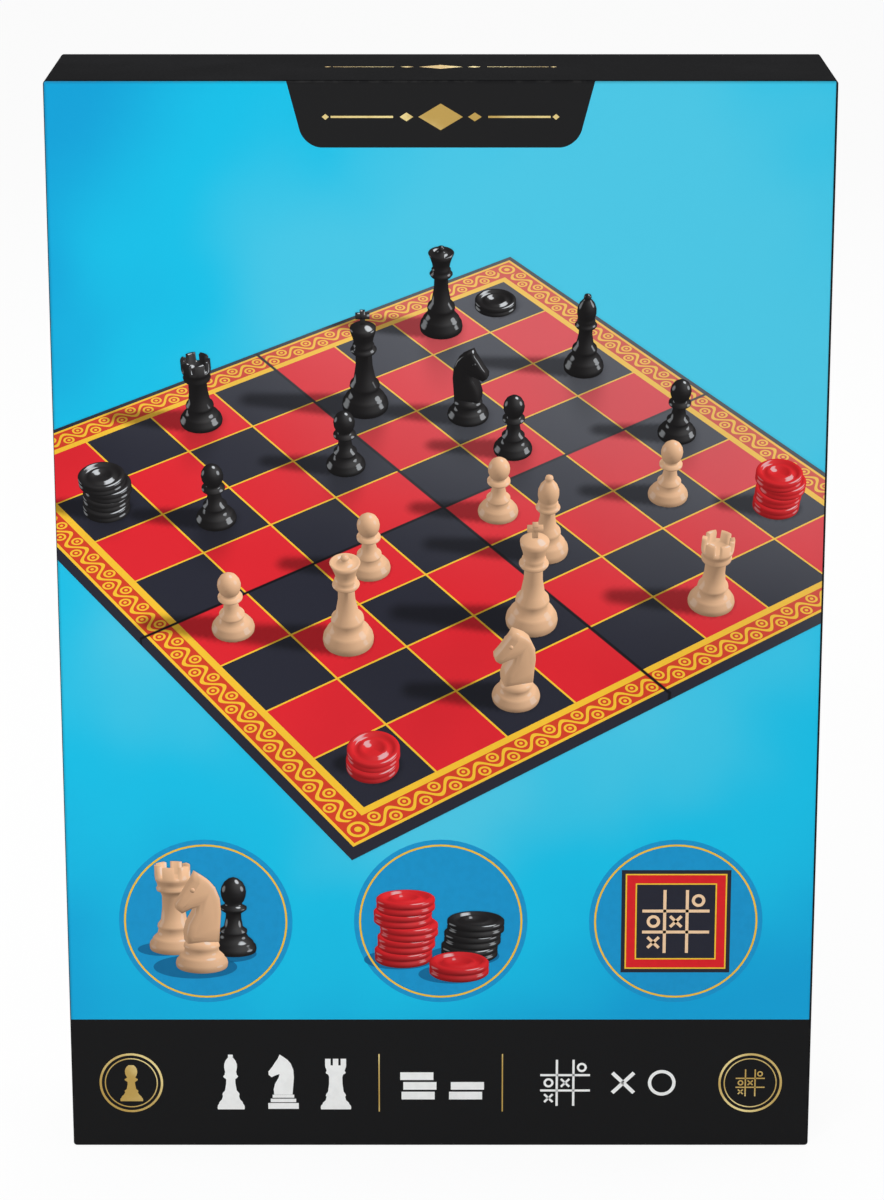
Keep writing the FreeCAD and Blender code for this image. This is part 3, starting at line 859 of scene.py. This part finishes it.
class Plate:
    """Flat shapes of one ink, drawn in millimetres across and up one wall of the box."""

    def __init__(self, name, colour, layer, shine=False, wall="front"):
        self.shape = bmesh.new()
        self.name = name
        self.colour = colour
        self.shine = shine
        self.corner, self.outward, self.stand, self.body = walls[wall]
        self.proud = 0.02 * millimetre + layer * layer_step

    def settle(self, verts, x, z, turn=0.0):
        """Turn a flat shape, stand it up and lay it on its wall at a place."""
        bmesh.ops.rotate(self.shape, verts=verts, matrix=Matrix.Rotation(math.radians(turn), 3, "Z"))
        bmesh.ops.translate(self.shape, verts=verts, vec=(x, z, 0))
        bmesh.ops.scale(self.shape, verts=verts, vec=(millimetre, millimetre, millimetre))
        bmesh.ops.rotate(self.shape, verts=verts, matrix=self.stand)
        bmesh.ops.translate(self.shape, verts=verts, vec=self.corner + self.proud * self.outward)

    def disc(self, x, z, radius, squash=1.0):
        verts = bmesh.ops.create_circle(self.shape, cap_ends=True, segments=64, radius=radius)["verts"]
        bmesh.ops.scale(self.shape, verts=verts, vec=(1, squash, 1))
        self.settle(verts, x, z)

    def ring(self, x, z, radius, width, segments=64, turn=0.0):
        made = bmesh.ops.create_circle(self.shape, cap_ends=True, segments=segments, radius=radius)["verts"]
        disc = made[0].link_faces[0]
        bmesh.ops.inset_region(self.shape, faces=[disc], thickness=width, use_boundary=True,
                               use_even_offset=True)
        verts = list(set(disc.verts) | set(made))
        bmesh.ops.delete(self.shape, geom=[disc], context="FACES_ONLY")
        self.settle(verts, x, z, turn)

    def bar(self, x, z, wide, high, turn=0.0):
        verts = bmesh.ops.create_grid(self.shape, x_segments=1, y_segments=1, size=0.5)["verts"]
        bmesh.ops.scale(self.shape, verts=verts, vec=(wide, high, 1))
        self.settle(verts, x, z, turn)

    def lozenge(self, x, z, wide, high):
        self.outline(x, z, [(-wide / 2, 0), (0, -high / 2), (wide / 2, 0), (0, high / 2)])

    def outline(self, x, z, points, scale=1.0):
        verts = [self.shape.verts.new((scale * across, scale * up, 0)) for across, up in points]
        self.shape.faces.new(verts)
        self.settle(verts, x, z)

    def finish(self):
        bmesh.ops.triangulate(self.shape, faces=[face for face in self.shape.faces if len(face.verts) > 4])
        self.shape.normal_update()
        wrong = [face for face in self.shape.faces if face.normal.dot(self.outward) < 0]
        bmesh.ops.reverse_faces(self.shape, faces=wrong)
        paint = Finish(self.name)
        speck = paint.noise(420.0, 3.0)
        if self.shine:
            glow = paint.noise(34.0, 2.0)
            sheen = paint.smooth(glow + 0.1 * speck, 0.40, 0.66)
            coloured = paint.mix(sheen, ink(*gold_pale), ink(*self.colour))
        else:
            deeper = tuple(0.95 * part for part in ink(*self.colour)[:3]) + (1,)
            coloured = paint.mix(paint.smooth(speck, 0.35, 0.7), ink(*self.colour), deeper)
        material = laminate(paint, coloured)
        if self.shine:
            paint.surface({"Metallic": 0.35, "Roughness": 0.36 + 0.1 * speck})
        return hand_over(self.shape, self.name, material, self.body)


def silhouette(kind):
    """The side view of a turned man: its outline and the outline's mirror."""
    height, radius, outline = outlines[kind]
    right = [(radius * out, height * up) for up, out in outline if out > 0]
    right = right[:1 + right.index(max(right, key=lambda point: point[1]))]
    return right + [(-across, up) for across, up in reversed(right)]


print("inks ready")

# %% [markdown]
# Three roundels stand in a row under the board: a few men, stacks of draughts, and a framed grid of
# noughts and crosses. The small men come from the same outlines, seen by a closer camera. The signs
# in the band repeat the same three games.

# %% Roundels
roundel_height = 87.0
roundel_places = (-84.0, 0.0, 84.0)


def knight_sign(plate, x, z, scale):
    plate.outline(x, z, knight_side, scale)
    plate.bar(x, z + 11.2 * scale, 17 * scale, 2.6 * scale)
    plate.bar(x, z + 7.6 * scale, 20 * scale, 3.0 * scale)
    plate.bar(x, z + 2.9 * scale, 24 * scale, 5.0 * scale)


def rook_sign(plate, x, z, scale):
    plate.outline(x, z, silhouette("rook"), scale)
    for side in (-1, 0, 1):
        plate.bar(x + 6.1 * side * scale, z + 40.2 * scale, 4.3 * scale, merlon_rise * scale)


def stack_sign(plate, x, z, scale, count=3):
    for place in range(count):
        shift = (0, 1.3, -0.9)[place % 3] * scale
        plate.bar(x + shift, z + (4.0 + 7.6 * place) * scale, 24 * scale, 6.0 * scale)


def grid_sign(plate, x, z, size):
    for side in (-1, 1):
        plate.bar(x + side * size / 6, z, size / 22, size)
        plate.bar(x, z + side * size / 6, size, size / 22)
    cell = size / 3
    for column, row in ((-1, -1), (0, 0)):
        for turn in (45, -45):
            plate.bar(x + column * cell, z + row * cell, cell * 0.72, size / 22, turn)
    for column, row in ((1, 1), (-1, 0)):
        plate.ring(x + column * cell, z + row * cell, cell * 0.30, size / 22)


def vignette_sight(x, scale):
    """A closer camera for the small picture in a roundel."""
    return Sight((x, roundel_height - 15), scale, 0.0, math.radians(20), 420.0, (330.0, 480.0), 0.16, 0.2)


def vignettes():
    picture = new_picture()
    left, middle, right = roundel_places
    small_men = (("pawn", "black", (13, 16, 0), 0), ("rook", "cream", (-15, 20, 0), 0.2),
                 ("knight", "cream", (-2, -6, 0), 0.25))
    for kind, plastic, place, turn in small_men:
        print_man(picture, vignette_sight(left, 0.78), kind, plastic, Vector(place), turn)
    small_stacks = (("red", (-15, 2, 0), 5), ("black", (14, 8, 0), 3), ("red", (9, -16, 0), 1))
    for plastic, place, count in small_stacks:
        print_stack(picture, vignette_sight(middle, 0.82), plastic, Vector(place), count)
    return hand_over(picture, "printed_vignettes", printed_ink("printed_vignettes"))


def roundels():
    ground = Plate("printed_roundels", roundel_blue, 0)
    rims = Plate("printed_roundel_lines", (236, 190, 58), 3)
    cream = Plate("printed_roundel_cream", (236, 200, 162), 4)
    red = Plate("printed_roundel_red", (214, 34, 40), 2)
    navy = Plate("printed_roundel_navy", (38, 39, 50), 1)
    shadow = Plate("printed_roundel_shadows", (16, 104, 150), 1)
    for x in roundel_places:
        ground.disc(x, roundel_height, 31)
        rims.ring(x, roundel_height, 29.2, 0.7)
    left, middle, right = roundel_places
    for x, z, radius in ((left - 4, -17.4, 15), (left + 7, -12.4, 11), (left - 16, -10.6, 8.5),
                         (middle - 15, -14.6, 12.5), (middle + 8, -13.2, 13), (middle + 4, -20.2, 12)):
        shadow.disc(x, roundel_height + z, radius, 0.30)
    navy.bar(right, roundel_height, 39, 39)
    red.ring(right, roundel_height, 17.6 * math.sqrt(2), 3.2, 4, 45)
    rims.ring(right, roundel_height, 18.1 * math.sqrt(2), 0.5, 4, 45)
    rims.ring(right, roundel_height, 14.5 * math.sqrt(2), 0.5, 4, 45)
    grid_sign(cream, right, roundel_height, 24)
    return [plate.finish() for plate in (ground, navy, shadow, red, rims, cream)] + [vignettes()]


print("roundels", [piece.name for piece in roundels()])

# %% [markdown]
# Gold on the tab and the band is a metallic ink. Two upright rules part the band, as on many boxes
# of this kind, and the signs sit in between and beside them.

# %% Gold and white on the black
tab_middle = box_height / millimetre - 12.2
band_middle = band_top / millimetre / 2


def ornament(plate, x, z, upright_line=False):
    """A lozenge between two rules, level or upright."""
    for offset, wide, high, is_rule in ((0, 15, 9, False), (11.5, 4.6, 3, False), (26.5, 21, 0.7, True),
                                        (38.8, 2.4, 2, False)):
        for side in ((-1, 1) if offset else (1,)):
            place = (x, z + side * offset) if upright_line else (x + side * offset, z)
            size = (high, wide) if upright_line else (wide, high)
            (plate.bar if is_rule else plate.lozenge)(*place, *size)


def game_signs(plate, z):
    """White signs: three men, two stacks and a grid with a cross and a nought."""
    knight_sign(plate, -57, z - 10.4, 0.46)
    rook_sign(plate, -38, z - 10.4, 0.46)
    plate.outline(-76, z - 10.4, silhouette("bishop"), 0.42)
    stack_sign(plate, -8.2, z - 7.0, 0.5)
    stack_sign(plate, 9.0, z - 7.0, 0.5, 2)
    grid_sign(plate, 45, z, 18)
    plate.ring(80, z, 5.0, 1.2)
    for turn in (45, -45):
        plate.bar(66, z, 11, 1.4, turn)


def front_signs():
    leaf = Plate("printed_gold", gold, 1, shine=True)
    white = Plate("printed_white", (240, 240, 238), 1)
    ornament(leaf, 0, tab_middle)
    for side in (-1, 1):
        leaf.bar(side * 22.3, band_middle, 0.45, 22.5)
        leaf.ring(side * 112, band_middle, 11.5, 0.8)
        leaf.ring(side * 112, band_middle, 9.6, 0.4)
    leaf.outline(-112, band_middle - 7.2, silhouette("pawn"), 0.38)
    grid_sign(leaf, 112, band_middle, 10.5)
    game_signs(white, band_middle)
    return leaf.finish(), white.finish()


def wall_signs():
    middle = box_height / millimetre / 2
    top = Plate("printed_top_gold", gold, 0, shine=True, wall="top")
    ornament(top, 0, box_depth / millimetre / 2)
    made = [top]
    for wall in ("left", "right"):
        side = Plate("printed_" + wall + "_gold", gold, 0, shine=True, wall=wall)
        ornament(side, 0, middle, upright_line=True)
        made.append(side)
    back = Plate("printed_back_gold", gold, 0, shine=True, wall="back")
    half_wide, half_high = 112, 172
    for side in (-1, 1):
        back.bar(side * half_wide, middle, 0.7, 2 * half_high + 0.7)
        back.bar(0, middle + side * half_high, 2 * half_wide + 0.7, 0.7)
        ornament(back, 0, middle + side * 34)
    white = Plate("printed_back_white", (240, 240, 238), 0, wall="back")
    game_signs(white, middle)
    return [plate.finish() for plate in made + [back, white]]


print("signs", [piece.name for piece in (*front_signs(), *wall_signs())])

# %% [markdown]
# Under the lid lies the folded board. Its outer face is navy with a framed grid for noughts and
# crosses, its inner faces carry the chequered print, and its cut edges show grey board. Each quarter
# knows its faces by which way they look, so one function dresses all four.

# %% Folded board
grey_board = ink(128, 122, 112)
quarter_low, quarter_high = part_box("board_near_right")
quarter_middle = (quarter_low + quarter_high) / 2


def framed_grid(paint, x, z):
    """The outer face: navy, a red frame between yellow lines and a yellow grid of nine."""
    off_x = abs(x - quarter_middle.x) / millimetre
    off_z = abs(z - quarter_middle.z) / millimetre
    reach = off_x.larger(off_z)
    frame_red = abs(reach - 62) < 7
    lines = (abs(reach - 70.4) < 0.9).larger(abs(reach - 53.6) < 0.9)
    cell = (abs(off_x - 15) < 0.7) * (off_z < 45)
    cell = cell.larger((abs(off_z - 15) < 0.7) * (off_x < 45))
    face = paint.mix(frame_red, board_navy, board_red)
    return paint.mix(lines.larger(cell), face, board_yellow)


def board_finish(name, play_side):
    paint = Finish(name + "_print")
    x, y, z = paint.place()
    faces = paint.facing()
    u = (x - quarter_low.x) / (square * millimetre)
    v = (quarter_high.z - z) / (square * millimetre)
    play = board_pattern(paint, u, v)
    cover = framed_grid(paint, x, z) if name == "board_near_right" else board_navy
    on_play = (faces[1] * play_side) > 0.5
    fibre = paint.noise(1900.0, 3.0, 0.6)
    edge = paint.mix(paint.smooth(fibre, 0.3, 0.7), grey_board, ink(96, 91, 84))
    printed_face = paint.mix(on_play, cover, play)
    colour = paint.mix(abs(faces[1]) > 0.5, edge, printed_face)
    rubbed = paint.smooth(paint.noise(150.0, 4.0), 0.5, 0.72)
    rub = (1 - paint.smooth(from_edge(x, z, quarter_low, quarter_high), 0, 1.4 * millimetre)) * rubbed
    colour = paint.mix(rub * 0.4, colour, grey_board)
    linen = paint.noise(1500.0, 1.0)
    return paint.surface({"Base Color": colour, "Roughness": 0.42 + 0.16 * linen, "Specular IOR Level": 0.14,
                          "Normal": paint.bump(linen + 0.5 * fibre, 0.16, 0.00008)})


for quarter, play_side in (("near_left", -1), ("far_left", 1), ("far_right", -1), ("near_right", 1)):
    dress(["board_" + quarter], board_finish("board_" + quarter, play_side))
print("board quarters dressed")

# %% [markdown]
# The men and draughts are moulded plastic: a clear gloss with slight flow clouds under it, fine
# scuffs, and a parting line where the two halves of the mould met. They lie in the tray with that
# line level, so it is a thin ridge at one depth.

# %% Moulded men and draughts
man_low, man_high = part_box("light_king")
parting_depth = (man_low.y + man_high.y) / 2


def moulded(name, colour, deeper, parting=True):
    paint = Finish(name)
    x, y, z = paint.place()
    flow = paint.noise(90.0, 4.0, distortion=1.6)
    scuff = paint.noise(1300.0, 4.0, 0.65)
    ridge = 1 - paint.smooth(abs(y - parting_depth), 0.06 * millimetre, 0.22 * millimetre)
    height = scuff * 0.35 + (ridge if parting else 0)
    rough = 0.20 + 0.14 * paint.smooth(scuff, 0.5, 0.75) + 0.05 * flow
    return paint.surface({"Base Color": paint.mix(paint.smooth(flow, 0.3, 0.75), colour, deeper),
                          "Roughness": rough, "Normal": paint.bump(height, 0.22, 0.00009)})


cream_plastic = moulded("cream_plastic", ink(236, 194, 156), ink(224, 178, 138))
black_plastic = moulded("black_plastic", ink(27, 26, 27), ink(18, 17, 18))
red_plastic = moulded("red_plastic", ink(205, 32, 36), ink(188, 24, 30), parting=False)
dress([name for name in nodes if name.startswith("light_")], cream_plastic)
dress([name for name in nodes if name.startswith("dark_")] + ["black_draughts"], black_plastic)
dress(["red_draughts"], red_plastic)
print("men dressed", len([name for name in nodes if name.startswith(("light_", "dark_"))]))

# %% [markdown]
# The tray is a thin sheet drawn down over a former. Such sheets are glossy but never quite smooth:
# they keep a fine orange-peel, faint chill ripples on the walls and scuffs on the high ribs. The
# leaflet is plain uncoated paper with a printed frame.

# %% Tray and leaflet
tray_low, tray_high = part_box("insert_tray")


def formed_sheet():
    paint = Finish("formed_tray_sheet")
    x, y, z = paint.place()
    peel = paint.noise(520.0, 2.0)
    ripple = paint.noise(46.0, 2.0, distortion=0.8)
    scuff = paint.noise(260.0, 5.0, 0.7)
    # painted shade: the sheet is drawn darker towards the bottom of its wells
    depth = paint.smooth(y, tray_low.y, tray_high.y)
    pale = paint.mix(depth, ink(226, 223, 216), ink(206, 202, 194))
    top_wear = paint.smooth(scuff, 0.55, 0.75) * (y < tray_low.y + 1.2 * millimetre)
    colour = paint.mix(0.35 * top_wear, pale, ink(186, 182, 174))
    return paint.surface({"Base Color": colour, "Roughness": 0.30 + 0.10 * ripple + 0.2 * top_wear,
                          "Normal": paint.bump(peel * 0.5 + ripple, 0.14, 0.0002)})


def leaflet_paper():
    paint = Finish("leaflet_paper")
    x, y, z = paint.place()
    low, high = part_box("rules_leaflet")
    fibre = paint.noise(1400.0, 4.0, 0.65)
    off = from_edge(x, z, low, high) / millimetre
    frame_line = (abs(off - 8) < 0.5).larger(abs(off - 10) < 0.2)
    paper = paint.mix(paint.smooth(fibre, 0.3, 0.7), ink(242, 240, 234), ink(230, 227, 219))
    crease = 1 - paint.smooth(abs(z - (low.z + high.z) / 2), 0.1 * millimetre, 0.7 * millimetre)
    return paint.surface({"Base Color": paint.mix(frame_line, paper, board_navy),
                          "Roughness": 0.80 + 0.1 * fibre, "Specular IOR Level": 0.2,
                          "Normal": paint.bump(fibre - crease, 0.25, 0.0001)})


dress(["insert_tray"], formed_sheet())
dress(["rules_leaflet"], leaflet_paper())
print("tray and leaflet dressed")

# %% [markdown]
# A folding board is held together by its paper. One hinge of navy cloth paper runs down between the
# two pairs of quarters: it is made folded in the thin gap of the shut board and stays there. Two more
# folds join each pair at the top, and stay shut.

# %% Paper hinges of the board
hinge_reach = 8.0 * millimetre
paper_thickness = 0.02 * millimetre
left_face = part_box("board_far_left")[0].y
right_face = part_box("board_far_right")[1].y
hinge_middle = Vector((quarter_low.x - 0.5 * millimetre, (left_face + right_face) / 2, quarter_middle.z))
paper_gap = (left_face - right_face) * 0.28


def hinge_cloth():
    paint = Finish("board_hinge_cloth")
    x, y, z = paint.place()
    weave = (z * 9000.0).sine() * (x * 9000.0).sine()
    fibre = paint.noise(1400.0, 3.0)
    colour = paint.mix(paint.smooth(weave + fibre, 0.2, 1.2), ink(24, 25, 36), ink(38, 39, 54))
    return paint.surface({"Base Color": colour, "Roughness": 0.7 + 0.1 * fibre, "Specular IOR Level": 0.1,
                          "Normal": paint.bump(weave, 0.2, 0.0001)})


def strip(name, points, direction, material):
    """A strip of paper: a bent line, pushed along and thickened."""
    paper = bmesh.new()
    line = [paper.verts.new(point) for point in points]
    edges = [paper.edges.new(pair) for pair in zip(line, line[1:])]
    far = new_points(bmesh.ops.extrude_edge_only(paper, edges=edges))
    bmesh.ops.translate(paper, verts=far, vec=direction)
    bmesh.ops.recalc_face_normals(paper, faces=paper.faces)
    bmesh.ops.solidify(paper, geom=paper.faces[:], thickness=paper_thickness)
    piece = to_object(paper, name, material)
    return piece


def board_hinge(material):
    start = hinge_middle + Vector((0, paper_gap, 0))
    end = hinge_middle - Vector((0, paper_gap, 0))
    inward = Vector((hinge_reach, 0, 0))
    near = Vector((0.15 * millimetre, 0, 0))
    foot = Vector((0, 0, quarter_low.z - quarter_middle.z))
    line = (start + inward, start + near, hinge_middle, end + near, end + inward)
    points = [point + foot for point in line]
    piece = strip("board_hinge", points, Vector((0, 0, quarter_high.z - quarter_low.z)), material)
    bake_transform(piece)
    return piece


def pair_fold(name, first, second, body, material):
    """The shut fold over the top edges of two quarters."""
    low = min(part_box(first)[0].y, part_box(second)[0].y)
    high = max(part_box(first)[1].y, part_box(second)[1].y)
    top = quarter_high.z + 0.05 * millimetre
    points = [Vector((quarter_low.x, high - share * (high - low), top + bulge * millimetre))
              for share, bulge in ((0.02, 0), (0.2, 0.12), (0.5, 0.16), (0.8, 0.12), (0.98, 0))]
    piece = strip(name, points, Vector((quarter_high.x - quarter_low.x, 0, 0)), material)
    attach(piece, body)
    return piece


cloth = hinge_cloth()
board_hinge(cloth)
pair_fold("board_left_fold", "board_near_left", "board_far_left", "board_left", cloth)
pair_fold("board_right_fold", "board_near_right", "board_far_right", "board_right", cloth)
print("board hinge reaches", hinge_reach / millimetre, "mm onto each pair")
